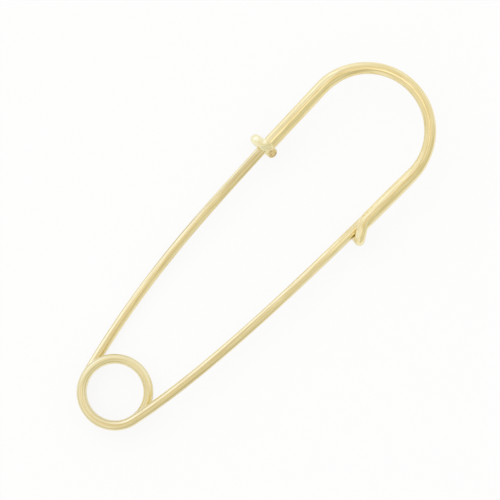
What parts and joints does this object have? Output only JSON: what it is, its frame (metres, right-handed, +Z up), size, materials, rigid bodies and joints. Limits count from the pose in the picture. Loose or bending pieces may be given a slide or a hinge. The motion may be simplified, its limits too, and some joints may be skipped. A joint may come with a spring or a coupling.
{
  "type": "safety pin",
  "caption": "Large wire safety pin with an open coiled spring, a thick bowed head and hooked clasps; the pointed arm squeezes inward out of its catch.",
  "frame": {"origin": "under the middle of the whole pin's bounding box, on the surface that the pin lies on", "axes": "+X along the pin from the coil to the bowed head, +Y towards the pointed arm's side, +Z up, away from the surface, towards the face that shows the bow in front of the arms"},
  "size_m": [0.075, 0.0248, 0.006],
  "materials": {
    "spring_wire": "pale gold-toned drawn wire, satin, with fine lengthwise drawing lines",
    "head_rod": "pale gold-toned rod, smoother satin to bright, with a few lengthwise streaks"
  },
  "bodies": {
    "frame": {"spring_coil": "spring_wire", "back_arm": "spring_wire", "head_bow": "head_rod", "catch_hook": "head_rod", "keeper_hook": "head_rod"},
    "pointed_arm": {"pin_arm": "spring_wire"}
  },
  "joints": [
    {"name": "pin_squeeze", "type": "hinge", "parent": "frame", "child": "pointed_arm", "pos_m": [-0.0314, -0.0003, 0.0008], "axis": [0, 0, -1], "range_deg": [0, 10], "stiffness_Nm_per_rad": 0.4, "springref_deg": -14.32}
  ]
}
